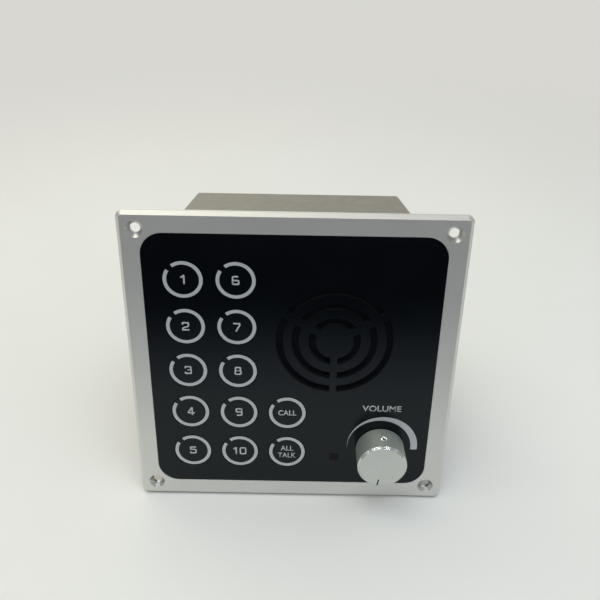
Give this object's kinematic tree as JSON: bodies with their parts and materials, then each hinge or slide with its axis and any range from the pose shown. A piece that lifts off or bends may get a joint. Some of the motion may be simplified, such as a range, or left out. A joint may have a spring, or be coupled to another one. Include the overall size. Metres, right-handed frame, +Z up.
{
  "type": "intercom master station",
  "caption": "Flush-mounted square intercom panel with round push keys, a slotted loudspeaker grille, a volume knob and a sheet-metal rear box with wiring terminals.",
  "frame": {"origin": "centre of the front plate's rear face, which seats on the console panel", "axes": "+X right as the user sees it, +Z up, +Y into the console, away from the user"},
  "size_m": [0.144, 0.106, 0.144],
  "materials": {
    "panel_aluminium": "bead-blasted, clear anodised",
    "printed_film": "black satin polyester film, printed from behind in pale grey",
    "key_plastic": "black satin face with a pale grey printed ring and legend",
    "tinted_window": "dark tinted acrylic",
    "lamp_resin": "clear-moulded lamp resin",
    "silicone": "translucent grey silicone",
    "circuit_board": "solder-masked glass-fibre board",
    "zinc_steel": "bright zinc plating",
    "bright_steel": "bright nickel plating",
    "acoustic_cloth": "black woven cloth",
    "foam": "closed-cell foam",
    "speaker_steel": "zinc-plated pressed steel",
    "ferrite": "sintered ferrite",
    "pressed_paper": "pressed black paper",
    "copper_winding": "enamelled wire winding",
    "control_can": "plated can",
    "nickel_brass": "nickel-plated brass",
    "knob_aluminium": "turned, clear anodised",
    "painted_sheet": "warm grey coated steel sheet",
    "terminal_plastic": "green moulded plastic",
    "black_plastic": "moulded",
    "ribbon_insulation": "grey ribbon insulation",
    "lead_insulation": "white flat lead",
    "capacitor_sleeve": "shrunk sleeve on a can",
    "relay_plastic": "moulded cover",
    "potting_resin": "potted block",
    "black_anodised": "black anodised extrusion"
  },
  "bodies": {
    "housing": {"front_panel": "panel_aluminium", "overlay_film": "printed_film", "indicator_window": "tinted_window", "indicator_lamp": "lamp_resin", "switch_mat": "silicone", "keypad_board": "circuit_board", "main_board": "circuit_board", "board_spacers": "zinc_steel", "panel_studs": "zinc_steel", "stud_nuts": "zinc_steel", "grille_cloth": "acoustic_cloth", "speaker_gasket": "foam", "speaker_basket": "speaker_steel", "speaker_top_plate": "speaker_steel", "speaker_yoke": "speaker_steel", "speaker_magnet": "ferrite", "cone_surround": "acoustic_cloth", "centring_disc": "acoustic_cloth", "speaker_clamps": "zinc_steel", "volume_control": "control_can", "volume_washer": "zinc_steel", "volume_nut": "nickel_brass", "rear_box": "painted_sheet", "board_pillars": "nickel_brass", "pillar_screws": "zinc_steel", "line_terminal_upper": "terminal_plastic", "line_terminal_lower": "terminal_plastic", "power_terminal": "terminal_plastic", "terminal_screws": "zinc_steel", "earth_stud": "zinc_steel", "earth_nut": "nickel_brass", "ribbon_headers": "black_plastic", "ribbon_sockets": "black_plastic", "ribbon_cable": "ribbon_insulation", "speaker_lead": "lead_insulation", "volume_lead": "lead_insulation", "capacitors": "capacitor_sleeve", "line_relays": "relay_plastic", "line_transformer": "potting_resin", "heat_sink": "black_anodised", "amplifier_chip": "black_plastic", "logic_chips": "black_plastic"},
    "key_1": {"key_1": "key_plastic"},
    "key_2": {"key_2": "key_plastic"},
    "key_3": {"key_3": "key_plastic"},
    "key_4": {"key_4": "key_plastic"},
    "key_5": {"key_5": "key_plastic"},
    "key_6": {"key_6": "key_plastic"},
    "key_7": {"key_7": "key_plastic"},
    "key_8": {"key_8": "key_plastic"},
    "key_9": {"key_9": "key_plastic"},
    "key_10": {"key_10": "key_plastic"},
    "key_call": {"key_call": "key_plastic"},
    "key_all_talk": {"key_all_talk": "key_plastic"},
    "volume_spindle": {"volume_knob": "knob_aluminium", "volume_shaft": "nickel_brass", "knob_set_screw": "bright_steel"},
    "cone_assembly": {"speaker_cone": "pressed_paper", "dust_cap": "pressed_paper", "voice_coil": "copper_winding"}
  },
  "joints": [
    {"name": "key_1_press", "type": "slide", "parent": "housing", "child": "key_1", "axis": [0, 1, 0], "range_m": [0, 0.0005], "stiffness_N_per_m": 1200, "springref_m": -0.0005, "deforming": ["switch_mat"]},
    {"name": "key_2_press", "type": "slide", "parent": "housing", "child": "key_2", "axis": [0, 1, 0], "range_m": [0, 0.0005], "stiffness_N_per_m": 1200, "springref_m": -0.0005, "deforming": ["switch_mat"]},
    {"name": "key_3_press", "type": "slide", "parent": "housing", "child": "key_3", "axis": [0, 1, 0], "range_m": [0, 0.0005], "stiffness_N_per_m": 1200, "springref_m": -0.0005, "deforming": ["switch_mat"]},
    {"name": "key_4_press", "type": "slide", "parent": "housing", "child": "key_4", "axis": [0, 1, 0], "range_m": [0, 0.0005], "stiffness_N_per_m": 1200, "springref_m": -0.0005, "deforming": ["switch_mat"]},
    {"name": "key_5_press", "type": "slide", "parent": "housing", "child": "key_5", "axis": [0, 1, 0], "range_m": [0, 0.0005], "stiffness_N_per_m": 1200, "springref_m": -0.0005, "deforming": ["switch_mat"]},
    {"name": "key_6_press", "type": "slide", "parent": "housing", "child": "key_6", "axis": [0, 1, 0], "range_m": [0, 0.0005], "stiffness_N_per_m": 1200, "springref_m": -0.0005, "deforming": ["switch_mat"]},
    {"name": "key_7_press", "type": "slide", "parent": "housing", "child": "key_7", "axis": [0, 1, 0], "range_m": [0, 0.0005], "stiffness_N_per_m": 1200, "springref_m": -0.0005, "deforming": ["switch_mat"]},
    {"name": "key_8_press", "type": "slide", "parent": "housing", "child": "key_8", "axis": [0, 1, 0], "range_m": [0, 0.0005], "stiffness_N_per_m": 1200, "springref_m": -0.0005, "deforming": ["switch_mat"]},
    {"name": "key_9_press", "type": "slide", "parent": "housing", "child": "key_9", "axis": [0, 1, 0], "range_m": [0, 0.0005], "stiffness_N_per_m": 1200, "springref_m": -0.0005, "deforming": ["switch_mat"]},
    {"name": "key_10_press", "type": "slide", "parent": "housing", "child": "key_10", "axis": [0, 1, 0], "range_m": [0, 0.0005], "stiffness_N_per_m": 1200, "springref_m": -0.0005, "deforming": ["switch_mat"]},
    {"name": "key_call_press", "type": "slide", "parent": "housing", "child": "key_call", "axis": [0, 1, 0], "range_m": [0, 0.0005], "stiffness_N_per_m": 1200, "springref_m": -0.0005, "deforming": ["switch_mat"]},
    {"name": "key_all_talk_press", "type": "slide", "parent": "housing", "child": "key_all_talk", "axis": [0, 1, 0], "range_m": [0, 0.0005], "stiffness_N_per_m": 1200, "springref_m": -0.0005, "deforming": ["switch_mat"]},
    {"name": "volume_turn", "type": "hinge", "parent": "housing", "child": "volume_spindle", "pos_m": [0.0411, 0, -0.0424], "axis": [0, 1, 0], "range_deg": [0, 300]},
    {"name": "cone_stroke", "type": "slide", "parent": "housing", "child": "cone_assembly", "axis": [0, 1, 0], "range_m": [-0.0006, 0.0006], "stiffness_N_per_m": 2000, "deforming": ["cone_surround", "centring_disc"]}
  ]
}
